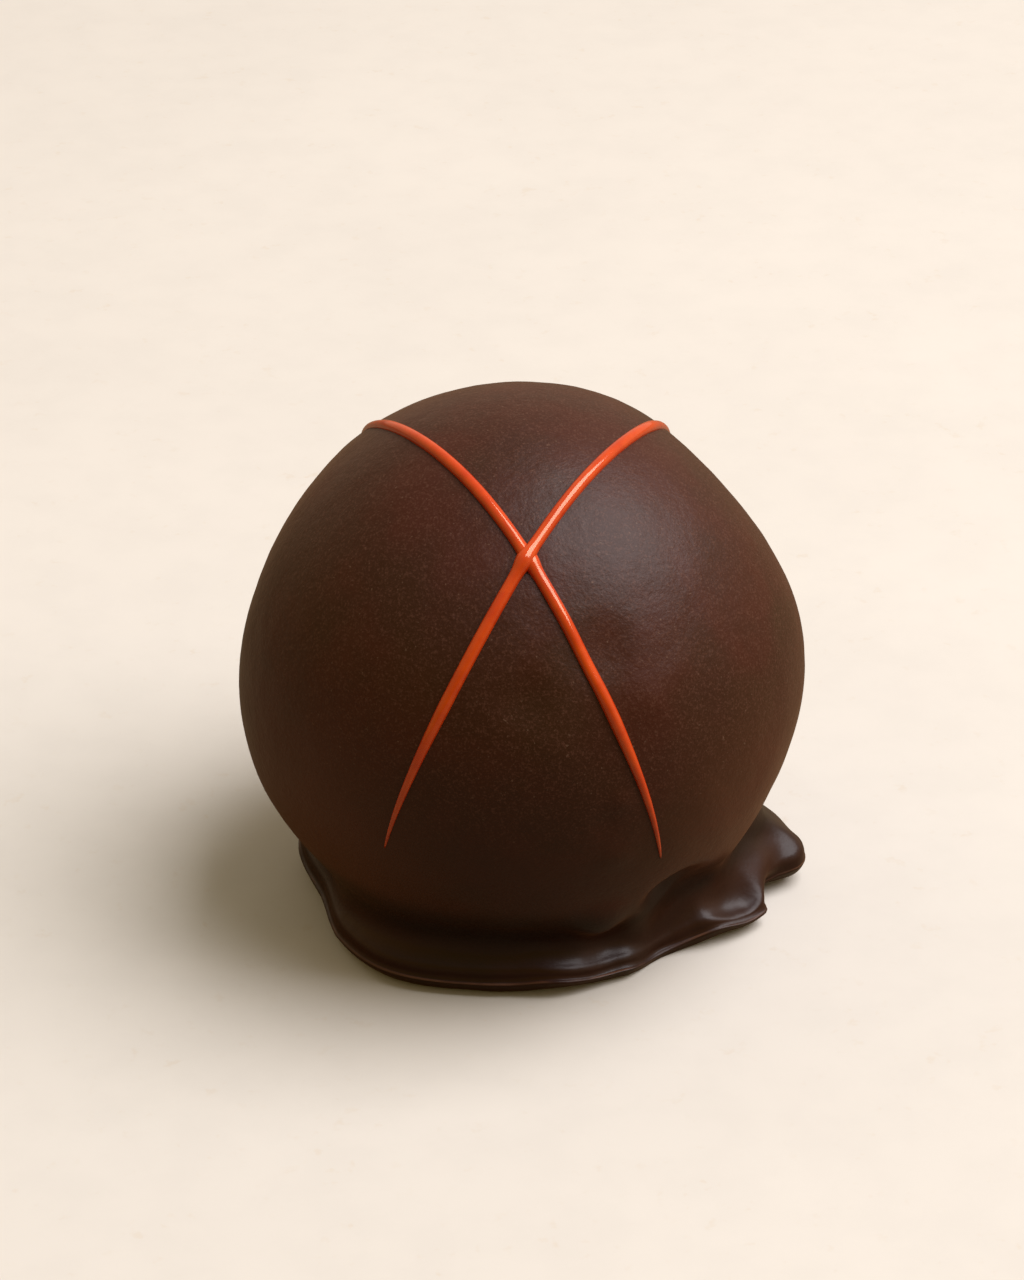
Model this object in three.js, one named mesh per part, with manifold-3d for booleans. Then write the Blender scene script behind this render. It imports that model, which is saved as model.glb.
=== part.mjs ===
// A hand-dipped chocolate truffle: a slumped ball on the foot that its coating made as it set,
// crossed by two thin drizzled strands. Millimetres, +Z up, origin on the resting plane beneath
// the middle of the ball, front towards -Y. Everything is fused into one solid.
import * as THREE from 'three';
import { mergeVertices } from 'three/addons/utils/BufferGeometryUtils.js';
import Module from 'manifold-3d';

// Driving sizes
const BALL_RADIUS = 14;
const BALL_HEIGHT = 12.5; // middle of the ball above the resting plane
const RIM_RADIUS = 11.3; // widest reach of the foot before its lobes are pulled out
const FLAT_MARGIN = 1.3; // the flat underside stops this far inside the rim
const SKIN_EDGE = 4.8; // height at which the ball's skin turns into the foot
const STRAND_RADIUS = 0.31; // half its width
const STRAND_CROWN = 0.78; // its height above the skin, as a share of that

// Fineness of the facets
const TURN_STEPS = 96;
const BALL_ROWS = 26;
const STRAND_SIDES = 10;
const STRAND_STEPS = 52;
const SEAM_TOLERANCE = 0.003; // shorter edges along the joins are closed up

const UP = new THREE.Vector3(0, 0, 1);
const BALL_MIDDLE = new THREE.Vector3(0, 0, BALL_HEIGHT);

// Foot profile from the flat underside out under the thin lip and up the hollow beneath the ball,
// as distance inside the rim and height.
const FOOT_PROFILE = [
  [FLAT_MARGIN, 0],
  [0.8, 0.04],
  [0.42, 0.24],
  [0.13, 0.6],
  [0, 0.82],
  [0.13, 0.98],
  [0.19, 1.38],
  [0.42, 1.84],
  [0.61, 2.24],
  [0.66, 2.8],
  [0.42, 3.5],
  [0.14, 4],
  [-0.14, 4.4],
];
const FLAT_RINGS = [0, 3.8, 7.2];

// Unevenness of the ball: each entry pulls the skin along its own radius (negative pushes in)
// and fades out over its reach. Angles in degrees, azimuth from +X towards +Y.
const BALL_PULLS = [
  { azimuth: 24, elevation: 35, outward: -0.68, reach: 9.2 }, // flat on the upper right
  { azimuth: 155, elevation: 17, outward: -0.59, reach: 8.8 }, // flat on the upper left
  { azimuth: 196, elevation: -15, outward: 0.25, reach: 7.8 }, // slump on the lower left
  { azimuth: -12, elevation: -24, outward: -0.25, reach: 6.5 }, // lean flank on the lower right
  { azimuth: 96, elevation: -6, outward: -0.25, reach: 8 }, // flat on the back
];

// Unevenness of the foot: a point on it, how far it is pulled outward, sideways round the foot (not
// at all unless given) and lifted, and the reach.
const FOOT_PULLS = [
  { azimuth: 0.1, radius: 11.3, height: 1.2, outward: 2.93, lift: 0.35, reach: 4.7 }, // big right lobe
  { azimuth: -0.7, radius: 12.4, height: 1.2, outward: 1.34, lift: 0.1, reach: 2.53 }, // its corner
  { azimuth: 13.3, radius: 11.9, height: 1.6, outward: 0.94, lift: 0.35, reach: 3.2 }, // its far shoulder
  { azimuth: -11, radius: 12.39, height: 0.6, outward: -1.69, lift: 0, reach: 2.39 }, // notch
  { azimuth: -21, radius: 11.3, height: 0.8, outward: 1.73, lift: 0, reach: 3.82 }, // small lobe
  { azimuth: -48.6, radius: 11.3, height: 1.2, outward: -0.96, lift: -0.2, reach: 2.97 }, // lean right
  { azimuth: -50, radius: 10.9, height: 2.6, outward: 0, lift: -0.7, reach: 3.4 }, // its low ledge
  { azimuth: -74.6, radius: 11.3, height: 1.2, outward: -0.4, lift: 0, reach: 5.08 }, // lean front
  { azimuth: -74, radius: 10.9, height: 2.6, outward: 0, lift: -0.5, reach: 3.2 }, // its thin lip
  { azimuth: -124.9, radius: 11.3, height: 1.2, outward: 0.72, lift: 0, reach: 6.06 }, // left swell
  { azimuth: -163, radius: 11.3, height: 1.2, outward: -0.66, lift: 0, reach: 4.22 }, // left waist
  { azimuth: 170.7, radius: 11.3, height: 1.2, outward: 0.31, lift: 0.3, reach: 2.39 }, // left knob
  { azimuth: -71, radius: 11.5, height: 4.6, outward: 0.35, lift: -0.45, reach: 2.2 }, // tongue of skin
  { azimuth: -45, radius: 11, height: 4, outward: -0.7, lift: 0.5, reach: 3.4 }, // recess under the skin
  { azimuth: 130, radius: 11.3, height: 1.2, outward: 0.7, lift: 0, reach: 5 }, // back left swell
  { azimuth: 95, radius: 11.3, height: 1.2, outward: -0.4, lift: 0, reach: 4.5 }, // back waist
  { azimuth: 52, radius: 11.3, height: 1.2, outward: 0.9, lift: 0, reach: 4 }, // back right swell
  { azimuth: -12, radius: 12, height: 2.2, outward: 0.5, lift: -0.15, reach: 2 }, // its sheet
  { azimuth: -8, radius: 12.6, height: 2, outward: 0.15, lift: 0.1, reach: 1.5 }, // folded side
  { azimuth: -28, radius: 11.9, height: 2.3, outward: -0.3, lift: -0.8, reach: 2.1 }, // low crown
  { azimuth: -6, radius: 13, height: 2.6, outward: 0, sideways: 0.35, lift: -0.15, reach: 1.8 }, // top
  { azimuth: -8, radius: 12.9, height: 1.1, outward: 0, sideways: -0.23, lift: 0, reach: 1.3 }, // edge
  { azimuth: -52, radius: 12, height: 5.3, outward: -0.9, lift: 0.3, reach: 2.3 }, // recess edge
  { azimuth: -64, radius: 10.3, height: 2.5, outward: -0.45, lift: -0.25, reach: 2.3 }, // flat front ledge
  { azimuth: -62, radius: 10.9, height: 0.8, outward: 0.02, lift: 0, reach: 1.8 }, // its lip
];

// Each strand runs round a small circle of the ball. The pole is that circle's axis, latitude its
// shift from a great circle, and the arc angles count from its highest point.
const STRANDS = [
  {
    pole: { azimuth: 29.6, elevation: 15.3 },
    latitude: -4.9,
    sense: 1, // down the front to the right
    backEnd: -44,
    frontEnd: 105.5,
    rise: 0,
  },
  {
    pole: { azimuth: 153, elevation: 17.9 },
    latitude: -2.7,
    sense: -1, // down the front to the left, over the first strand
    backEnd: -42,
    frontEnd: 103,
    rise: 0.18,
  },
];
const CROSSING_ARC = 34.5;
const CROSSING_SPREAD = 4;
const CROSSING_SWELL = 0.16; // extra width where the strands melt together
const WANDER = { angle: 0.45, period: 86, crest: 19 };
const FRONT_TAPER = 36;
const BACK_TAPER = 24;
const TIP_SHARE = 0.12; // radius left at a strand's tips, as a share of its full radius

function directionAt(azimuth, elevation) {
  const a = THREE.MathUtils.degToRad(azimuth);
  const e = THREE.MathUtils.degToRad(elevation);
  return new THREE.Vector3(Math.cos(e) * Math.cos(a), Math.cos(e) * Math.sin(a), Math.sin(e));
}

// Closed surface of revolution of the foot and ball, before any unevenness.
function revolvedBody() {
  const points = FLAT_RINGS.map((radius) => new THREE.Vector2(radius, 0));
  for (const [inside, height] of FOOT_PROFILE) {
    points.push(new THREE.Vector2(RIM_RADIUS - inside, height));
  }
  const start = Math.asin((SKIN_EDGE - BALL_HEIGHT) / BALL_RADIUS);
  for (let row = 0; row < BALL_ROWS; row += 1) {
    const elevation = THREE.MathUtils.lerp(start, Math.PI / 2, row / (BALL_ROWS - 1));
    const radius = row === BALL_ROWS - 1 ? 0 : BALL_RADIUS * Math.cos(elevation);
    points.push(new THREE.Vector2(radius, BALL_HEIGHT + BALL_RADIUS * Math.sin(elevation)));
  }
  const geometry = new THREE.LatheGeometry(points, TURN_STEPS);
  geometry.rotateX(Math.PI / 2);
  return geometry;
}

// Direction from the ball's middle to a strand's centre line.
function strandDirection(strand, arc) {
  const pole = directionAt(strand.pole.azimuth, strand.pole.elevation);
  const highest = UP.clone().addScaledVector(pole, -pole.z).normalize();
  const onward = new THREE.Vector3().crossVectors(pole, highest).multiplyScalar(strand.sense);
  const wave = Math.cos((2 * Math.PI * (arc - WANDER.crest)) / WANDER.period);
  const latitude = THREE.MathUtils.degToRad(strand.latitude + WANDER.angle * wave);
  const turn = THREE.MathUtils.degToRad(arc);
  const around = highest.multiplyScalar(Math.cos(turn)).addScaledVector(onward, Math.sin(turn));
  return around.multiplyScalar(Math.cos(latitude)).addScaledVector(pole, Math.sin(latitude));
}

// Radius of a strand at an arc angle: full in the middle, swollen at the crossing, thin at both tips.
function strandRadius(strand, arc) {
  const toFront = Math.min(1, (strand.frontEnd - arc) / FRONT_TAPER);
  const toBack = Math.min(1, (arc - strand.backEnd) / BACK_TAPER);
  const taper = TIP_SHARE + (1 - TIP_SHARE) * Math.min(toFront ** 0.8, toBack ** 0.7);
  return STRAND_RADIUS * taper * (1 + CROSSING_SWELL * crossingShare(arc));
}

function crossingShare(arc) {
  return Math.exp(-(((arc - CROSSING_ARC) / CROSSING_SPREAD) ** 2));
}

// A capped cylinder laid along the strand's arc, with its axis in the ball's skin.
function bentStrand(strand) {
  const geometry = new THREE.CylinderGeometry(1, 1, 1, STRAND_SIDES, STRAND_STEPS);
  const position = geometry.attributes.position;
  const vertex = new THREE.Vector3();
  for (let i = 0; i < position.count; i += 1) {
    vertex.fromBufferAttribute(position, i);
    const arc = THREE.MathUtils.lerp(strand.backEnd, strand.frontEnd, vertex.y + 0.5);
    const outward = strandDirection(strand, arc);
    const along = strandDirection(strand, arc + 0.5).sub(strandDirection(strand, arc - 0.5)).normalize();
    const sideways = new THREE.Vector3().crossVectors(outward, along);
    const radius = strandRadius(strand, arc);
    const lift = BALL_RADIUS + strand.rise * crossingShare(arc) + STRAND_CROWN * radius * vertex.x;
    const point = BALL_MIDDLE.clone().addScaledVector(outward, lift);
    point.addScaledVector(sideways, radius * vertex.z);
    position.setXYZ(i, point.x, point.y, point.z);
  }
  return geometry;
}

// Moves every vertex within reach of the centre, fading smoothly to nothing at the reach.
function pull(geometry, centre, move, reach) {
  const position = geometry.attributes.position;
  const vertex = new THREE.Vector3();
  for (let i = 0; i < position.count; i += 1) {
    vertex.fromBufferAttribute(position, i);
    const share = 1 - THREE.MathUtils.smoothstep(vertex.distanceTo(centre), 0, reach);
    vertex.addScaledVector(move, share);
    position.setXYZ(i, vertex.x, vertex.y, vertex.z);
  }
}

// Gives the body and the strands on it the same unevenness, one pull after another.
function makeUneven(body, strands) {
  const geometries = [body, ...strands];
  for (const { azimuth, elevation, outward, reach } of BALL_PULLS) {
    const direction = directionAt(azimuth, elevation);
    const centre = BALL_MIDDLE.clone().addScaledVector(direction, BALL_RADIUS);
    const move = direction.clone().multiplyScalar(outward);
    geometries.forEach((geometry) => pull(geometry, centre, move, reach));
  }
  for (const { azimuth, radius, height, outward, sideways = 0, lift, reach } of FOOT_PULLS) {
    const direction = directionAt(azimuth, 0);
    const centre = direction.clone().multiplyScalar(radius).setZ(height);
    const move = direction.clone().multiplyScalar(outward).setZ(lift);
    move.addScaledVector(directionAt(azimuth + 90, 0), sideways);
    geometries.forEach((geometry) => pull(geometry, centre, move, reach));
  }
}

// Lays the rings that make the flat underside back on the resting plane.
function flattenUnderside(body) {
  const position = body.attributes.position;
  const rings = FLAT_RINGS.length + FOOT_PROFILE.length + BALL_ROWS;
  for (let i = 0; i < position.count; i += 1) {
    const onFlat = i % rings <= FLAT_RINGS.length;
    position.setZ(i, onFlat ? 0 : Math.max(0, position.getZ(i)));
  }
}

// A solid from a closed geometry, without the empty triangles that lie at its poles.
function solidOf(geometry) {
  geometry.deleteAttribute('normal');
  geometry.deleteAttribute('uv');
  const merged = mergeVertices(geometry, 1e-4);
  const index = merged.index.array;
  const triangles = [];
  for (let i = 0; i < index.length; i += 3) {
    const [a, b, c] = index.slice(i, i + 3);
    if (a !== b && b !== c && c !== a) {
      triangles.push(a, b, c);
    }
  }
  const vertProperties = new Float32Array(merged.attributes.position.array);
  const triVerts = new Uint32Array(triangles);
  return new wasm.Manifold(new wasm.Mesh({ numProp: 3, vertProperties, triVerts }));
}

function geometryOf(solid) {
  const { numProp, vertProperties, triVerts } = solid.getMesh();
  const geometry = new THREE.BufferGeometry();
  const positions = new Float32Array((vertProperties.length / numProp) * 3);
  for (let i = 0; i < positions.length / 3; i += 1) {
    positions.set(vertProperties.subarray(i * numProp, i * numProp + 3), i * 3);
  }
  geometry.setAttribute('position', new THREE.BufferAttribute(positions, 3));
  geometry.setIndex(new THREE.BufferAttribute(new Uint32Array(triVerts), 1));
  geometry.computeVertexNormals();
  return geometry;
}

const wasm = await Module();
wasm.setup();

const body = revolvedBody();
const strands = STRANDS.map(bentStrand);
makeUneven(body, strands);
flattenUnderside(body);

const fused = strands.reduce((solid, strand) => solid.add(solidOf(strand)), solidOf(body));
const clean = fused.simplify(SEAM_TOLERANCE);
const chocolate = new THREE.MeshStandardMaterial({ color: 0x4a2d1e, roughness: 0.5, metalness: 0 });

const truffle = new THREE.Mesh(geometryOf(clean), chocolate);
truffle.name = 'truffle';

const group = new THREE.Group();
group.add(truffle);

export default group;
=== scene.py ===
"""A hand-dipped chocolate truffle with two crossed strands of drizzle, dressed over its CAD frame."""

import math

import bmesh
import bpy
from mathutils import Matrix, Vector


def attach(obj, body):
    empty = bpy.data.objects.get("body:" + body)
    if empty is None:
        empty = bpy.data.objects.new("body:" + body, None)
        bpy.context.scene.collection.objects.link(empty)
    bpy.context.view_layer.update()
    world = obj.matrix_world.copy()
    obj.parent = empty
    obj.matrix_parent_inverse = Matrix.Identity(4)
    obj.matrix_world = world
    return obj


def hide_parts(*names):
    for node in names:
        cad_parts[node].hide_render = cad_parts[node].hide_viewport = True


bl_info = {
    "name": "Chocolate Truffle",
    "version": (1, 0, 0),
    "blender": (4, 5, 0),
    "location": "3D View > Sidebar > Truffle",
    "description": "Builds a hand-dipped chocolate truffle, its drizzle and its stage",
    "category": "Add Mesh",
}

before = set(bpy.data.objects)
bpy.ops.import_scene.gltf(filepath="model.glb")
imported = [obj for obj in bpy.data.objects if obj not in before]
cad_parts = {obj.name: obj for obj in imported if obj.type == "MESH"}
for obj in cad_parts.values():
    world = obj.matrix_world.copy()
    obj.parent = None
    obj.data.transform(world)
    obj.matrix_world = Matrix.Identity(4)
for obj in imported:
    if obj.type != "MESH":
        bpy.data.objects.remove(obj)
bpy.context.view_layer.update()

MM = 0.001
UP = Vector((0, 0, 1))
ORIGIN = Vector((0, 0, 0))
HAIR = 0.001 * MM  # places closer than this are the same

# The shape lists below are in millimetres and degrees, azimuth from +X towards +Y.

# Foot, from the flat underside out round the rolled rim and up the hollow beneath the ball:
# distance inside the rim, and height.
FLAT_MARGIN = 1.3
FOOT_PROFILE = [
    (FLAT_MARGIN, 0.0),
    (0.8, 0.04),
    (0.5, 0.17),
    (0.3, 0.37),
    (0.13, 0.6),
    (0.02, 0.76),
    (0.0, 0.82),
    (0.04, 0.89),
    (0.13, 0.96),
    (0.19, 1.14),
    (0.19, 1.38),
    (0.26, 1.62),
    (0.44, 1.86),
    (0.6, 2.16),
    (0.68, 2.55),
    (0.63, 3.0),
    (0.42, 3.5),
    (0.14, 4.0),
    (-0.14, 4.4),
]
# Height where the hollow beneath the ball runs into its round skin
SKIN_EDGE = 4.8
# Steps round the upright axis, up the ball, across the underside, and between two foot points
TURN_STEPS = 288
BALL_STEPS = 104
UNDERSIDE_STEPS = 6
STEPS_A_SPAN = 4

# Each pull moves the skin round one place, and fades to nothing at its reach.
# On the ball, along its radius: (azimuth, elevation, outward, reach)
BALL_PULLS = [
    (24, 35, -0.68, 9.2),  # flat on the upper right
    (155, 17, -0.59, 8.8),  # flat on the upper left
    (196, -15, 0.25, 7.8),  # slump on the lower left
    (-12, -24, -0.25, 6.5),  # lean flank on the lower right
    (96, -6, -0.25, 8.0),  # flat on the back
]
# On the foot: (azimuth, radius, height, outward, sideways, lift, reach)
FOOT_PULLS = [
    (0.1, 11.3, 1.2, 2.93, 0.0, 0.35, 4.7),  # big right lobe
    (-0.7, 12.4, 1.2, 1.34, 0.0, 0.1, 2.53),  # its corner
    (13.3, 11.9, 1.6, 0.94, 0.0, 0.35, 3.2),  # its far shoulder
    (-11, 12.39, 0.6, -1.69, 0.0, 0.0, 2.39),  # notch under its front edge
    (-21, 11.3, 0.8, 1.73, 0.0, 0.0, 3.82),  # small lobe
    (-48.6, 11.3, 1.2, -0.96, 0.0, -0.2, 2.97),  # lean front right
    (-50, 10.9, 2.6, 0.0, 0.0, -0.7, 3.4),  # its low ledge
    (-74.6, 11.3, 1.2, -0.4, 0.0, 0.0, 5.08),  # lean front
    (-74, 10.9, 2.6, 0.0, 0.0, -0.5, 3.2),  # its thin lip
    (-124.9, 11.3, 1.2, 0.72, 0.0, 0.0, 6.06),  # left swell
    (-163, 11.3, 1.2, -0.66, 0.0, 0.0, 4.22),  # left waist
    (170.7, 11.3, 1.2, 0.31, 0.0, 0.3, 2.39),  # left knob
    (-71, 11.5, 4.6, 0.35, 0.0, -0.45, 2.2),  # tongue of skin
    (-45, 11.0, 4.0, -0.7, 0.0, 0.5, 3.4),  # recess under the skin
    (130, 11.3, 1.2, 0.7, 0.0, 0.0, 5.0),  # back left swell
    (95, 11.3, 1.2, -0.4, 0.0, 0.0, 4.5),  # back waist
    (52, 11.3, 1.2, 0.9, 0.0, 0.0, 4.0),  # back right swell
    (-12, 12.0, 2.2, 0.5, 0.0, -0.15, 2.0),  # the big lobe's sheet, out over the notch
    (-8, 12.6, 2.0, 0.15, 0.0, 0.1, 1.5),  # its folded side
    (-28, 11.9, 2.3, -0.3, 0.0, -0.8, 2.1),  # low crown of the small lobe
    (-23, 12.2, 1.9, 0.1, 0.0, -0.3, 1.3),  # its sunken tip
    (-6, 13.0, 2.6, 0.0, 0.35, -0.15, 1.8),  # flat crown of the big lobe
    (-8, 12.9, 1.1, -0.04, -0.23, 0.0, 1.3),  # its front edge
    (-52, 12.0, 5.3, -0.9, 0.0, 0.3, 2.3),  # high edge of the recess
    (-64, 10.3, 2.5, -0.45, 0.0, -0.25, 2.3),  # flat front ledge
    (-79, 11.0, 0.8, 0.5, 0.0, 0.38, 2.9),  # the lip stands up off the board in front
    (-31, 11.9, 0.7, 0.2, 0.0, 0.32, 2.1),  # and along the small lobe
]
# Shallow dents and ridges that the coating left as it ran and set:
# (azimuth, elevation, outward, reach)
RELIEF_PULLS = [
    (-72, 31.5, -0.22, 2.4),  # dent beside the right strand
    (-63, 20, 0.15, 2.0),  # ridge below it
    (-56, 24, 0.08, 1.5),  # its right end
    (-89.6, 23, -0.17, 1.9),  # round dent between the strands
    (-84, 12, 0.1, 2.0),  # ridge below it
    (-70.5, 1, 0.14, 0.9),  # lumps beside the right strand
    (-74, -4, -0.09, 1.0),
    (-71, -13, 0.09, 1.2),
]
# How wide the chance swells of the skin are, and how deep the small ones, as a share of the broad.
BROAD_SWELL = 3.2
SMALL_SWELL = 0.9
SMALL_SWELL_DEPTH = 0.22
# Height of the foot's thin edge, which catches the light and is given a painted highlight
EDGE_LOW = 0.87
EDGE_HIGH = 0.93

# Each strand runs round a small circle of the ball: its pole, the circle's latitude, the way round,
# the arc angles of its ends from its highest point, and how far it rises over the other strand.
STRANDS = {
    "drizzle_to_right": {
        "pole": (29.6, 15.3),
        "latitude": -4.9,
        "sense": 1,
        "back_end": -44.0,
        "front_end": 105.5,
        "rise": 0.0,
    },
    "drizzle_to_left": {
        "pole": (153.0, 17.9),
        "latitude": -2.7,
        "sense": -1,
        "back_end": -42.0,
        "front_end": 103.0,
        "rise": 0.18,
    },
}
STRAND_SIDES = 20
STRAND_STEPS = 150
# Arc angle where the strands cross, and how far along it one rises over the other
CROSSING_ARC = 34.5
CROSSING_SPREAD = 4.0
# Extra width where they melt together, as a share, and how far that goes along them
KNOT_SWELL = 0.42
KNOT_SPREAD = 2.1
# Slow sideways wander of each strand
WANDER_ANGLE = 0.45
WANDER_PERIOD = 86.0
WANDER_CREST = 19.0
# How far the ends taper, how full they stay on the way, and what is left at the tips
FRONT_TAPER = 36.0
FRONT_FULLNESS = 0.8
BACK_TAPER = 24.0
BACK_FULLNESS = 0.7
TIP_SHARE = 0.12

# Painted light and shade: lighter patches painted on the lower flanks as painted light, and a darker
# patch painted low on the front as painted shade: (azimuth, elevation, reach, share, colour)
PAINTED_LIGHT_AND_SHADE_PATCHES = [
    # painted light on the lower left and lower right flanks
    (-140, -22, 11.0, 0.75, (0.14, 0.042, 0.018)),
    (-38, -20, 10.0, 0.5, (0.13, 0.036, 0.014)),
    # painted shade low on the front
    (-84, -8, 10.0, 0.4, (0.026, 0.0062, 0.0012)),
]
# Heights between which the finish changes: pooled chocolate below, painted shade in the hollow over
# the foot, and the grain and specks of the upper ball
POOL_FADE = (3.2, 5.6)
HOLLOW_SHADE_START = (2.4, 3.6)
HOLLOW_SHADE_END = (4.4, 6.2)
GRAIN_START = (7.0, 15.0)
BLACK = (0.0, 0.0, 0.0)
DUST_COLOUR = (0.115, 0.044, 0.027)
SPECK_COLOUR = (0.3, 0.19, 0.13)
# Painted highlight along the foot's thin edge
EDGE_HIGHLIGHT_COLOUR = (0.17, 0.07, 0.035)
SHEEN_COLOUR = (1.0, 0.4, 0.15, 1.0)
STREAK_COLOUR = (0.58, 0.038, 0.0035)
GLINT_COLOUR = (1.0, 0.98, 0.7, 1.0)
# Shares of the board's colour: in its clouds, in its flecks, and of the light it gives back to the
# truffle, loose and mirrored
BOARD_CLOUD = (0.95, 0.95, 0.95)
BOARD_FLECK = (0.9, 0.84, 0.76)
BOARD_BOUNCE = (0.15, 0.15, 0.15)
BOARD_REFLECTION = (0.3, 0.26, 0.17)

# Stage, in metres, degrees and watts, with the lens and its sensor in millimetres
BOARD_SIZE = 2.0
KEY_DIRECTION = Vector((0.5, 0.0, 0.866))
KEY_DISTANCE = 0.6
KEY_SIZE = 0.5
KEY_POWER = 4.63
KEY_COLOUR = (0.96, 0.955, 1.0)
# Soft light of the room, by the side that it comes from: (axis, which way along it, colour)
ROOM_LIGHT = [
    ("Y", -1.0, (0.248, 0.18, 0.02)),  # in front
    ("Y", 1.0, (0.64, 0.527, 0.407)),  # behind
    ("X", -1.0, (0.438, 0.277, 0.087)),  # on the left
    ("X", 1.0, (0.789, 0.554, 0.351)),  # on the right
    ("Z", 1.0, (0.3, 0.315, 0.284)),  # above
]
CAMERA_PLACE = (-0.52 * MM, -183.06 * MM, 119.55 * MM)
CAMERA_TILT = 60.0
CAMERA_NEAREST = 10 * MM
LENS = 120.0
SENSOR = 36.0


class TruffleSizes(bpy.types.PropertyGroup):
    """Sizes that the truffle is built from."""

    ball_radius: bpy.props.FloatProperty(
        name="Ball radius",
        description="Radius of the round ball",
        default=14 * MM,
        subtype="DISTANCE",
    )
    ball_height: bpy.props.FloatProperty(
        name="Ball height",
        description="Height of the ball's middle above the resting plane",
        default=12.5 * MM,
        subtype="DISTANCE",
    )
    rim_radius: bpy.props.FloatProperty(
        name="Foot radius",
        description="Reach of the foot before its lobes are pulled out",
        default=11.3 * MM,
        subtype="DISTANCE",
    )
    strand_radius: bpy.props.FloatProperty(
        name="Drizzle radius",
        description="Half the width of a strand",
        default=0.31 * MM,
        subtype="DISTANCE",
    )
    strand_crown: bpy.props.FloatProperty(
        name="Drizzle crown",
        description="Height of a strand above the skin, as a share of half its width",
        default=0.98,
        subtype="FACTOR",
    )
    unevenness: bpy.props.FloatProperty(
        name="Unevenness",
        description="Depth of the coating's small chance swells",
        default=0.1 * MM,
        subtype="DISTANCE",
    )


class TruffleColours(bpy.types.PropertyGroup):
    """Colours of the truffle and of the board beneath it."""

    chocolate: bpy.props.FloatVectorProperty(
        name="Chocolate",
        description="Main colour of the coating",
        default=(0.041, 0.0094, 0.0026),
        subtype="COLOR",
    )
    chocolate_warm: bpy.props.FloatVectorProperty(
        name="Warm patches",
        description="Redder brown of the coating's patches",
        default=(0.054, 0.0098, 0.0029),
        subtype="COLOR",
    )
    chocolate_olive: bpy.props.FloatVectorProperty(
        name="Olive patches",
        description="Greener brown of the coating's patches",
        default=(0.037, 0.0115, 0.0022),
        subtype="COLOR",
    )
    drizzle: bpy.props.FloatVectorProperty(
        name="Drizzle",
        description="Main colour of the strands",
        default=(0.68, 0.061, 0.0045),
        subtype="COLOR",
    )
    board: bpy.props.FloatVectorProperty(
        name="Board",
        description="Pale board under the truffle",
        default=(0.774, 0.722, 0.656),
        subtype="COLOR",
    )


class Shade:
    """A socket in a finish, with arithmetic that adds the Math nodes for it."""

    def __init__(self, finish, socket):
        self.finish = finish
        self.socket = socket

    def _math(self, operation, first, second):
        return self.finish.add("ShaderNodeMath", {"operation": operation}, {0: first, 1: second})

    def __add__(self, other):
        return self._math("ADD", self, other)

    def __radd__(self, other):
        return self._math("ADD", other, self)

    def __sub__(self, other):
        return self._math("SUBTRACT", self, other)

    def __rsub__(self, other):
        return self._math("SUBTRACT", other, self)

    def __mul__(self, other):
        return self._math("MULTIPLY", self, other)

    def __rmul__(self, other):
        return self._math("MULTIPLY", other, self)


class Finish:
    """Nodes built up for one of the truffle's surfaces, or for the studio round it."""

    def __init__(self, owner, coordinates="Object"):
        owner.use_nodes = True
        self.owner = owner
        self.tree = owner.node_tree
        self.tree.nodes.clear()
        self.place = self.add("ShaderNodeTexCoord", output=coordinates)

    def add(self, kind, settings=None, inputs=None, output=0):
        """Adds a node, sets it up, then gives its sockets their values or links."""
        node = self.tree.nodes.new(kind)
        for name, value in (settings or {}).items():
            setattr(node, name, value)
        for name, value in (inputs or {}).items():
            if isinstance(value, Shade):
                self.tree.links.new(value.socket, node.inputs[name])
            else:
                node.inputs[name].default_value = value
        return Shade(self, node.outputs[output]) if node.outputs else None

    def noise(self, grain, detail=2.0, roughness=0.5, seed=0.0):
        """Cloudy noise from 0 to 1 whose lumps are about grain across, in metres."""
        return self.add(
            "ShaderNodeTexNoise",
            {"noise_dimensions": "4D"},
            {
                "Vector": self.place,
                "W": seed,
                "Scale": 1 / grain,
                "Detail": detail,
                "Roughness": roughness,
            },
        )

    def between(self, low, high, amount):
        """0 where amount is at low or less, 1 where it is at high or more, and smooth in between."""
        return self.add(
            "ShaderNodeMapRange",
            {"interpolation_type": "SMOOTHSTEP"},
            {"Value": amount, "From Min": low, "From Max": high},
        )

    def mix(self, share, first, second, blend="MIX"):
        """The first colour going over to the second by share, or with the second added."""
        return self.add(
            "ShaderNodeMix",
            {"data_type": "RGBA", "blend_type": blend},
            {0: share, 6: opaque(first), 7: opaque(second)},
            output=2,
        )

    def near(self, centre, reach):
        """1 at a centre on the truffle, fading smoothly to nothing at the reach; both in metres."""
        settings = {"operation": "DISTANCE"}
        away = self.add("ShaderNodeVectorMath", settings, {0: self.place, 1: centre}, "Value")
        return 1 - self.between(0.0, reach, away)

    def along(self, axis):
        """The place on the truffle, or the direction in the room, along one axis."""
        return self.add("ShaderNodeSeparateXYZ", inputs={"Vector": self.place}, output=axis)

    def fade(self, heights):
        """0 below a stretch of heights in millimetres, 1 above it."""
        low, high = heights
        return self.between(low * MM, high * MM, self.along("Z"))

    def bump(self, height, depth, under=None):
        """A small relief of the given depth, in metres."""
        inputs = {"Strength": 1.0, "Distance": depth, "Height": height}
        if under is not None:
            inputs["Normal"] = under
        return self.add("ShaderNodeBump", inputs=inputs)

    def surface(self, **inputs):
        """Closes the finish with its shader and gives back its material."""
        named = {name.replace("_", " "): value for name, value in inputs.items()}
        shader = self.add("ShaderNodeBsdfPrincipled", inputs=named)
        self.add("ShaderNodeOutputMaterial", inputs={"Surface": shader})
        return self.owner


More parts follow.
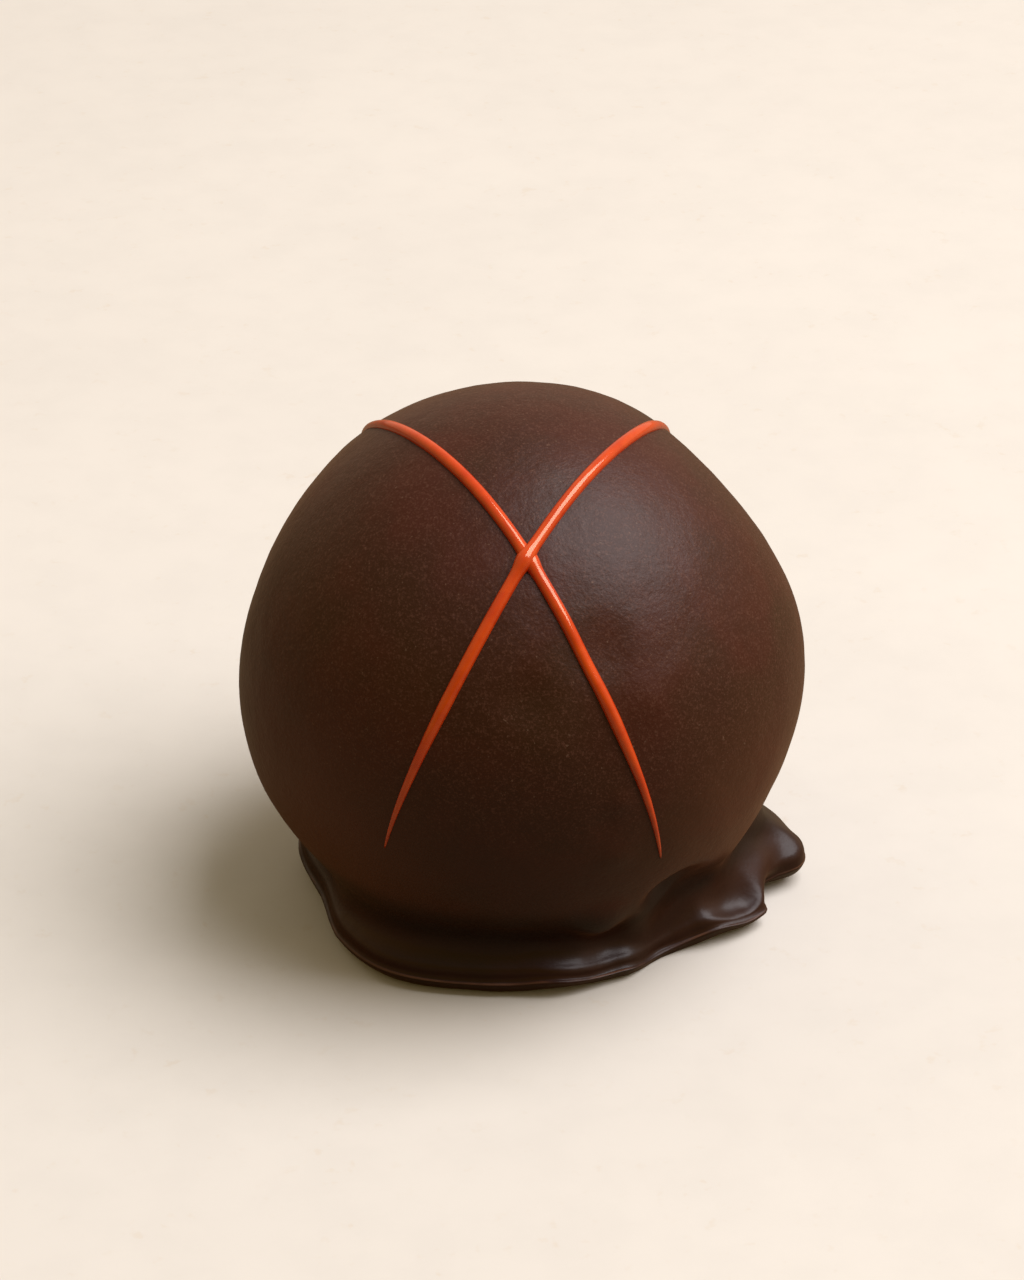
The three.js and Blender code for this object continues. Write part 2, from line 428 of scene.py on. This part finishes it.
def opaque(colour):
    """A colour with its alpha, or a link as it is."""
    return colour if isinstance(colour, Shade) else (*colour, 1)


def direction_at(azimuth, elevation):
    """Unit vector at an azimuth and elevation in degrees."""
    turn = math.radians(azimuth)
    rise = math.radians(elevation)
    level = math.cos(rise)
    return Vector((level * math.cos(turn), level * math.sin(turn), math.sin(rise)))


def on_ball(sizes, azimuth, elevation):
    """Place on the round ball's skin that lies in a direction from the ball's middle."""
    middle = Vector((0, 0, sizes.ball_height))
    return middle + direction_at(azimuth, elevation) * sizes.ball_radius


def deselect_everything():
    """Leaves edit mode if it is on, then deselects every object."""
    if bpy.context.object is not None and bpy.context.object.mode != "OBJECT":
        bpy.ops.object.mode_set(mode="OBJECT")
    bpy.ops.object.select_all(action="DESELECT")


def select_vertices(piece, wanted):
    """Selects the vertices of a piece in edit mode that pass a test, and no others."""
    mesh = bmesh.from_edit_mesh(piece.data)
    for vertex in mesh.verts:
        vertex.select_set(wanted(vertex))
    mesh.select_flush_mode()
    bmesh.update_edit_mesh(piece.data)


def apply_place(piece):
    """Puts a piece's place, turn and scale in its mesh."""
    bpy.context.view_layer.objects.active = piece
    piece.select_set(True)
    bpy.ops.object.transform_apply(location=True, rotation=True, scale=True)


def finish_piece(piece, material):
    """Rides a piece on the truffle's only body and gives it its material."""
    piece.data.materials.clear()
    piece.data.materials.append(material)
    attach(piece, "root")
    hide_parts("truffle")


def spline_through(points, steps):
    """Points along a smooth curve (Catmull-Rom) through the given ones, steps to each span."""
    ends = [points[0] * 2 - points[1], *points, points[-1] * 2 - points[-2]]
    line = []
    for before, start, stop, after in zip(ends, ends[1:], ends[2:], ends[3:]):
        slope = stop - before
        bend = 2 * before - 5 * start + 4 * stop - after
        twist = 3 * start - before - 3 * stop + after
        for step in range(steps):
            t = step / steps
            line.append(0.5 * (2 * start + slope * t + bend * t * t + twist * t * t * t))
    return line


def body_outline(sizes):
    """Outline of foot and ball in the XZ plane, from the middle of the underside to the top."""
    rim = sizes.rim_radius
    flat_edge = rim - FLAT_MARGIN * MM
    under = [Vector((flat_edge * step / UNDERSIDE_STEPS, 0, 0)) for step in range(UNDERSIDE_STEPS)]
    foot = [Vector((rim - inside * MM, 0, height * MM)) for inside, height in FOOT_PROFILE]
    start = math.asin((SKIN_EDGE * MM - sizes.ball_height) / sizes.ball_radius)
    ball = []
    for step in range(BALL_STEPS + 1):
        elevation = start + (math.pi / 2 - start) * step / BALL_STEPS
        across = sizes.ball_radius * math.cos(elevation) if step < BALL_STEPS else 0.0
        ball.append(Vector((across, 0, sizes.ball_height + sizes.ball_radius * math.sin(elevation))))
    return under + spline_through([*foot, ball[0]], STEPS_A_SPAN) + ball


def ball_pulls(sizes, pulls):
    """Pulls along the ball's own radius, as (centre, move, reach) in metres."""
    return [
        (
            on_ball(sizes, azimuth, elevation),
            direction_at(azimuth, elevation) * outward * MM,
            reach * MM,
        )
        for azimuth, elevation, outward, reach in pulls
    ]


def foot_pulls():
    """Pulls of the foot, as (centre, move, reach) in metres."""
    pulls = []
    for azimuth, radius, height, outward, sideways, lift, reach in FOOT_PULLS:
        out = direction_at(azimuth, 0)
        side = direction_at(azimuth + 90, 0)
        centre = out * radius + UP * height
        move = out * outward + side * sideways + UP * lift
        pulls.append((centre * MM, move * MM, reach * MM))
    return pulls


def pull_piece(piece, pulls):
    """Grabs the piece at each centre in turn and pulls it, fading smoothly to nothing at the reach.

    A loose copy of one vertex is the handle: it is set on the centre, and what lies near it follows.
    """
    bpy.context.view_layer.objects.active = piece
    bpy.ops.object.mode_set(mode="EDIT")
    bpy.ops.mesh.select_mode(type="VERT")
    handle = piece.data.vertices[0].co.copy()
    select_vertices(piece, lambda vertex: vertex.index == 0)
    bpy.ops.mesh.duplicate()
    for centre, move, reach in pulls:
        bpy.ops.transform.translate(value=centre - handle)
        bpy.ops.transform.translate(
            value=move,
            use_proportional_edit=True,
            proportional_edit_falloff="SMOOTH",
            proportional_size=reach,
        )
        handle = centre + move
    bpy.ops.mesh.delete(type="VERT")
    bpy.ops.object.mode_set(mode="OBJECT")


def flatten_underside(piece):
    """Lays the underside back on the resting plane, with whatever sank below it."""
    bpy.ops.object.mode_set(mode="EDIT")
    bpy.ops.mesh.select_all(action="DESELECT")
    bpy.ops.object.vertex_group_select()
    select_vertices(piece, lambda vertex: vertex.select or vertex.co.z < 0)
    bpy.ops.transform.resize(value=(1, 1, 0), center_override=ORIGIN)
    bpy.ops.object.mode_set(mode="OBJECT")


def swell(piece, name, grain, depth):
    """Gives the skin chance swells, everywhere but on the flat underside."""
    clouds = bpy.data.textures.new(name, "CLOUDS")
    clouds.noise_scale = grain
    clouds.noise_depth = 2
    modifier = piece.modifiers.new(name, "DISPLACE")
    modifier.texture = clouds
    modifier.texture_coords = "LOCAL"
    modifier.strength = depth
    modifier.mid_level = 0.5
    modifier.vertex_group = "underside"
    modifier.invert_vertex_group = True
    bpy.ops.object.modifier_apply(modifier=modifier.name)


def turn_outline(outline):
    """A piece made by turning an outline once round the upright axis."""
    deselect_everything()
    bpy.ops.mesh.primitive_circle_add(vertices=3, radius=0.1 * MM, location=outline[0])
    piece = bpy.context.object
    apply_place(piece)
    bpy.ops.object.mode_set(mode="EDIT")
    bpy.ops.mesh.select_all(action="SELECT")
    bpy.ops.mesh.merge(type="CENTER")
    for start, stop in zip(outline, outline[1:]):
        bpy.ops.mesh.extrude_vertices_move(TRANSFORM_OT_translate={"value": stop - start})
    bpy.ops.mesh.select_all(action="SELECT")
    bpy.ops.mesh.spin(steps=TURN_STEPS, angle=2 * math.pi, center=ORIGIN, axis=UP)
    bpy.ops.mesh.select_all(action="SELECT")
    bpy.ops.mesh.remove_doubles(threshold=HAIR)
    bpy.ops.mesh.normals_make_consistent(inside=False)
    bpy.ops.object.mode_set(mode="OBJECT")
    return piece


def mark_underside_and_edge(piece):
    """Names the flat underside, and keeps the ring of the foot's thin edge for its painted highlight.
    """
    bpy.ops.object.mode_set(mode="EDIT")
    select_vertices(piece, lambda vertex: vertex.co.z < HAIR)
    bpy.ops.object.vertex_group_assign_new()
    mesh = bmesh.from_edit_mesh(piece.data)
    edge = mesh.verts.layers.float.new("edge_highlight_ring")
    for vertex in mesh.verts:
        vertex[edge] = 1.0 if EDGE_LOW * MM < vertex.co.z < EDGE_HIGH * MM else 0.0
    bmesh.update_edit_mesh(piece.data)
    bpy.ops.object.mode_set(mode="OBJECT")
    piece.vertex_groups[0].name = "underside"


class TRUFFLE_OT_chocolate(bpy.types.Operator):
    """Builds the ball and its foot in dark chocolate"""

    bl_idname = "truffle.chocolate"
    bl_label = "Chocolate"

    def execute(self, context):
        sizes = context.scene.truffle_sizes
        body = turn_outline(body_outline(sizes))
        body.name = "chocolate"
        mark_underside_and_edge(body)
        relief = ball_pulls(sizes, RELIEF_PULLS)
        pull_piece(body, ball_pulls(sizes, BALL_PULLS) + foot_pulls() + relief)
        swell(body, "broad swells", BROAD_SWELL * MM, sizes.unevenness)
        swell(body, "small swells", SMALL_SWELL * MM, sizes.unevenness * SMALL_SWELL_DEPTH)
        flatten_underside(body)
        bpy.ops.object.shade_smooth()
        finish = chocolate_finish(sizes, context.scene.truffle_colours)
        finish_piece(body, finish)
        return {"FINISHED"}


class StrandPath:
    """The circle of the ball that a strand runs along, by arc angle from its highest point."""

    def __init__(self, sizes, strand):
        self.middle = Vector((0, 0, sizes.ball_height))
        self.radius = sizes.ball_radius
        self.latitude = math.radians(strand["latitude"])
        self.pole = direction_at(*strand["pole"])
        self.highest = (UP - self.pole * self.pole.z).normalized()
        self.onward = self.pole.cross(self.highest) * strand["sense"]
        self.hub = self.middle + self.pole * self.radius * math.sin(self.latitude)

    def outward_at(self, arc, sway=0.0):
        """Direction from the ball's middle at an arc angle in degrees, swayed off the circle."""
        turn = math.radians(arc)
        around = self.highest * math.cos(turn) + self.onward * math.sin(turn)
        return around * math.cos(self.latitude + sway) + self.pole * math.sin(self.latitude + sway)

    def place_at(self, arc, sway=0.0, rise=0.0):
        """Place at an arc angle, on the ball's skin or raised off it."""
        return self.middle + self.outward_at(arc, sway) * (self.radius + rise)

    def stance_at(self, arc):
        """Turn of a disc that faces along the strand, with its first axis away from the ball."""
        outward = self.outward_at(arc)
        along = (self.outward_at(arc + 0.5) - self.outward_at(arc - 0.5)).normalized()
        return Matrix((outward, along.cross(outward), along)).transposed().to_euler()

    def arc_of(self, place):
        """Arc angle of a place beside the strand."""
        spoke = place - self.hub
        return math.degrees(math.atan2(spoke.dot(self.onward), spoke.dot(self.highest)))


def crossing_share(arc, spread):
    """1 where the strands cross, falling away over the spread."""
    return math.exp(-(((arc - CROSSING_ARC) / spread) ** 2))


def strand_thickness(strand, arc):
    """Share of its full radius that a strand has at an arc angle."""
    to_front = min(1.0, max(0.0, (strand["front_end"] - arc) / FRONT_TAPER))
    to_back = min(1.0, max(0.0, (arc - strand["back_end"]) / BACK_TAPER))
    fullness = min(to_front**FRONT_FULLNESS, to_back**BACK_FULLNESS)
    taper = TIP_SHARE + (1 - TIP_SHARE) * fullness
    return taper * (1 + KNOT_SWELL * crossing_share(arc, KNOT_SPREAD))


def wander(arc):
    """Chance sideways turn of a strand from its circle, in radians."""
    return math.radians(WANDER_ANGLE) * math.cos(2 * math.pi * (arc - WANDER_CREST) / WANDER_PERIOD)


def spin_strand(sizes, strand, path):
    """An even strand: a disc spun round its pole from the back end to the front end."""
    back, front = strand["back_end"], strand["front_end"]
    deselect_everything()
    bpy.ops.mesh.primitive_circle_add(
        vertices=STRAND_SIDES,
        radius=sizes.strand_radius,
        fill_type="NGON",
        location=path.place_at(back),
        rotation=path.stance_at(back),
        scale=(sizes.strand_crown, 1, 1),
    )
    piece = bpy.context.object
    apply_place(piece)
    bpy.ops.object.mode_set(mode="EDIT")
    bpy.ops.mesh.select_all(action="SELECT")
    # With no window, spin turns the other way, so the angle is taken from front to back.
    angle = math.radians(back - front)
    axis = path.pole * strand["sense"]
    bpy.ops.mesh.spin(steps=STRAND_STEPS, angle=angle, center=path.hub, axis=axis)
    bpy.ops.object.mode_set(mode="OBJECT")
    return piece


def shape_rings(piece, strand, path):
    """Thins, sways and raises the strand ring by ring."""
    back, front = strand["back_end"], strand["front_end"]
    rings = {}
    for vertex in piece.data.vertices:
        share = (path.arc_of(vertex.co) - back) / (front - back)
        rings.setdefault(round(share * STRAND_STEPS), set()).add(vertex.index)
    bpy.ops.object.mode_set(mode="EDIT")
    for step, ring in rings.items():
        select_vertices(piece, lambda vertex: vertex.index in ring)
        arc = back + (front - back) * step / STRAND_STEPS
        rise = strand["rise"] * MM * crossing_share(arc, CROSSING_SPREAD)
        start = path.place_at(arc)
        stop = path.place_at(arc, wander(arc), rise)
        thickness = strand_thickness(strand, arc)
        bpy.ops.transform.resize(value=(thickness, thickness, thickness), center_override=start)
        bpy.ops.transform.translate(value=stop - start)
    bpy.ops.mesh.select_all(action="SELECT")
    bpy.ops.mesh.normals_make_consistent(inside=False)
    bpy.ops.object.mode_set(mode="OBJECT")


class TRUFFLE_OT_drizzle(bpy.types.Operator):
    """Lays the two crossed strands of drizzle on the ball"""

    bl_idname = "truffle.drizzle"
    bl_label = "Drizzle"

    def execute(self, context):
        sizes = context.scene.truffle_sizes
        finish = drizzle_finish(context.scene.truffle_colours)
        for name, strand in STRANDS.items():
            path = StrandPath(sizes, strand)
            piece = spin_strand(sizes, strand, path)
            piece.name = name
            shape_rings(piece, strand, path)
            pull_piece(piece, ball_pulls(sizes, BALL_PULLS + RELIEF_PULLS))
            bpy.ops.object.shade_smooth()
            finish_piece(piece, finish)
        return {"FINISHED"}


def chocolate_colour(finish, sizes, colours, pooled, upper, grain):
    """Brown in soft patches, dusty and speckled above, darker in the foot, with painted light and
    shade on the flanks and front, in the hollow over the foot and along its thin edge.
    """
    warm = finish.between(0.4, 0.64, finish.noise(5.5 * MM, detail=3, roughness=0.6, seed=1.0))
    colour = finish.mix(warm, colours.chocolate, colours.chocolate_warm)
    olive = finish.between(0.5, 0.66, finish.noise(7 * MM, detail=2, seed=5.0))
    colour = finish.mix(olive * 0.7, colour, colours.chocolate_olive)
    # Painted light and shade: lighter patches on the lower flanks, a darker one low on the front.
    for azimuth, elevation, reach, share, tone in PAINTED_LIGHT_AND_SHADE_PATCHES:
        painted_patch = finish.near(on_ball(sizes, azimuth, elevation), reach * MM)
        colour = finish.mix(painted_patch * share, colour, tone)
    dust = finish.between(0.47, 0.72, grain) * upper
    colour = finish.mix(dust * 0.55, colour, DUST_COLOUR)
    specks = finish.between(0.68, 0.78, finish.noise(0.15 * MM, detail=1, seed=3.0)) * upper
    colour = finish.mix(specks * 0.25, colour, SPECK_COLOUR)
    colour = finish.mix(pooled, colour, finish.mix(0.5, colour, BLACK))
    # Painted shade: the hollow over the foot, under the ball, is painted darker.
    hollow_shade = finish.fade(HOLLOW_SHADE_START) * (1 - finish.fade(HOLLOW_SHADE_END))
    colour = finish.mix(hollow_shade * 0.6, colour, BLACK)
    # Painted highlight: the foot's thin edge is painted lighter in patches, where it catches the
    # light.
    edge = finish.add("ShaderNodeAttribute", {"attribute_name": "edge_highlight_ring"}, output="Fac")
    lit = finish.between(0.35, 0.6, finish.noise(2.6 * MM, detail=2, seed=9.0))
    return finish.mix(edge * lit * 0.6, colour, EDGE_HIGHLIGHT_COLOUR)


def chocolate_finish(sizes, colours):
    """Satin coating with a fine uneven grain, smoother and glossier where it pooled in the foot."""
    finish = Finish(bpy.data.materials.new("dark chocolate"))
    pooled = 1 - finish.fade(POOL_FADE)
    upper = finish.fade(GRAIN_START)
    grain = finish.noise(0.11 * MM, detail=2, roughness=0.6, seed=4.0)
    mottle = finish.noise(1.1 * MM, detail=4, roughness=0.65, seed=2.0)
    pebbles = finish.noise(0.3 * MM, detail=2, roughness=0.6, seed=10.0)
    relief = finish.bump(mottle, 0.035 * MM)
    relief = finish.bump(pebbles * (1 - 0.8 * pooled), 0.026 * MM, under=relief)
    relief = finish.bump(grain * (1 - pooled), 0.009 * MM, under=relief)
    return finish.surface(
        Base_Color=chocolate_colour(finish, sizes, colours, pooled, upper, grain),
        Roughness=0.4 + 0.1 * mottle - 0.04 * pooled,
        Normal=relief,
        Coat_Weight=pooled * 0.06,
        Coat_Roughness=0.2,
        Specular_IOR_Level=0.29,
        Sheen_Weight=0.08,
        Sheen_Roughness=0.4,
        Sheen_Tint=SHEEN_COLOUR,
        IOR=1.48,
    )


def drizzle_finish(colours):
    """Glossy orange-red strands with slight streaks of deeper colour."""
    finish = Finish(bpy.data.materials.new("drizzle"))
    streaks = finish.noise(1.1 * MM, detail=3, roughness=0.6, seed=6.0)
    ripple = finish.noise(1.5 * MM, detail=1, seed=7.0)
    return finish.surface(
        Base_Color=finish.mix(finish.between(0.35, 0.7, streaks), colours.drizzle, STREAK_COLOUR),
        Roughness=0.11 + 0.06 * streaks,
        Normal=finish.bump(ripple, 0.003 * MM),
        Specular_IOR_Level=0.9,
        Specular_Tint=GLINT_COLOUR,
        IOR=1.46,
    )


def tinted(colour, shares):
    """A colour with each channel multiplied by its share."""
    return tuple(channel * share for channel, share in zip(colour, shares))


def board_finish(colours):
    """Pale board with barely any mottle, which throws little of its own light back up."""
    finish = Finish(bpy.data.materials.new("pale board"))
    board = colours.board
    cloud = finish.between(0.3, 0.7, finish.noise(24 * MM, detail=4, seed=8.0))
    blotches = finish.noise(3.5 * MM, detail=4, roughness=0.6, seed=11.0)
    blotches = finish.between(0.35, 0.7, blotches)
    flecks = finish.noise(0.9 * MM, detail=2, roughness=0.6, seed=12.0)
    flecks = finish.between(0.6, 0.74, flecks)
    colour = finish.mix(cloud * 0.6 + blotches * 0.5, board, tinted(board, BOARD_CLOUD))
    colour = finish.mix(flecks * blotches * 0.5, colour, tinted(board, BOARD_FLECK))
    # It is as bright to look at as its colour, but lights and mirrors less, so the foot stays dark.
    seen = finish.add("ShaderNodeLightPath", output="Is Camera Ray")
    mirrored = finish.add("ShaderNodeLightPath", output="Is Glossy Ray")
    given = finish.mix(mirrored, tinted(board, BOARD_BOUNCE), tinted(board, BOARD_REFLECTION))
    colour = finish.mix(seen, given, colour)
    return finish.surface(Base_Color=colour, Roughness=0.7, Specular_IOR_Level=0.1)


def soft_room():
    """The studio's own soft light, which differs from side to side."""
    room = Finish(bpy.data.worlds.new("soft studio"), coordinates="Generated")
    total = BLACK
    for axis, way, colour in ROOM_LIGHT:
        towards = room.along(axis) * way
        facing = room.add("ShaderNodeMath", {"operation": "MAXIMUM"}, {0: towards, 1: 0.0})
        glow = room.mix(facing * facing, BLACK, colour)
        total = room.mix(1.0, total, glow, blend="ADD")
    light = room.add("ShaderNodeBackground", inputs={"Color": total})
    room.add("ShaderNodeOutputWorld", inputs={"Surface": light})
    return room.owner


class TRUFFLE_OT_stage(bpy.types.Operator):
    """Sets the pale board, the soft light and the camera"""

    bl_idname = "truffle.stage"
    bl_label = "Stage"

    def execute(self, context):
        deselect_everything()
        bpy.ops.mesh.primitive_plane_add(size=BOARD_SIZE, location=ORIGIN)
        board = context.object
        board.name = "board"
        board.data.materials.append(board_finish(context.scene.truffle_colours))

        towards = KEY_DIRECTION.normalized()
        bpy.ops.object.light_add(type="AREA", location=towards * KEY_DISTANCE)
        key = context.object
        key.rotation_euler = towards.to_track_quat("Z", "Y").to_euler()
        key.data.size = KEY_SIZE
        key.data.energy = KEY_POWER
        key.data.color = KEY_COLOUR

        context.scene.world = soft_room()
        context.scene.view_settings.view_transform = "Standard"

        turn = (math.radians(CAMERA_TILT), 0, 0)
        bpy.ops.object.camera_add(location=CAMERA_PLACE, rotation=turn)
        camera = context.object
        camera.data.lens = LENS
        camera.data.sensor_width = SENSOR
        camera.data.clip_start = CAMERA_NEAREST
        context.scene.camera = camera
        return {"FINISHED"}


class TRUFFLE_PT_panel(bpy.types.Panel):
    """Lists the steps that build the truffle"""

    bl_idname = "TRUFFLE_PT_panel"
    bl_label = "Truffle"
    bl_space_type = "VIEW_3D"
    bl_region_type = "UI"
    bl_category = "Truffle"

    def draw(self, context):
        for group in (context.scene.truffle_sizes, context.scene.truffle_colours):
            for name in group.__annotations__:
                self.layout.prop(group, name)
        for step in STEPS:
            self.layout.operator(step.bl_idname)


STEPS = (TRUFFLE_OT_chocolate, TRUFFLE_OT_drizzle, TRUFFLE_OT_stage)
CLASSES = (TruffleSizes, TruffleColours, *STEPS, TRUFFLE_PT_panel)


def register():
    for item in CLASSES:
        bpy.utils.register_class(item)
    bpy.types.Scene.truffle_sizes = bpy.props.PointerProperty(type=TruffleSizes)
    bpy.types.Scene.truffle_colours = bpy.props.PointerProperty(type=TruffleColours)


def unregister():
    del bpy.types.Scene.truffle_colours
    del bpy.types.Scene.truffle_sizes
    for item in reversed(CLASSES):
        bpy.utils.unregister_class(item)


def main():
    register()
    bpy.ops.truffle.chocolate()
    bpy.ops.truffle.drizzle()
    bpy.ops.truffle.stage()


if __name__ == "__main__":
    main()
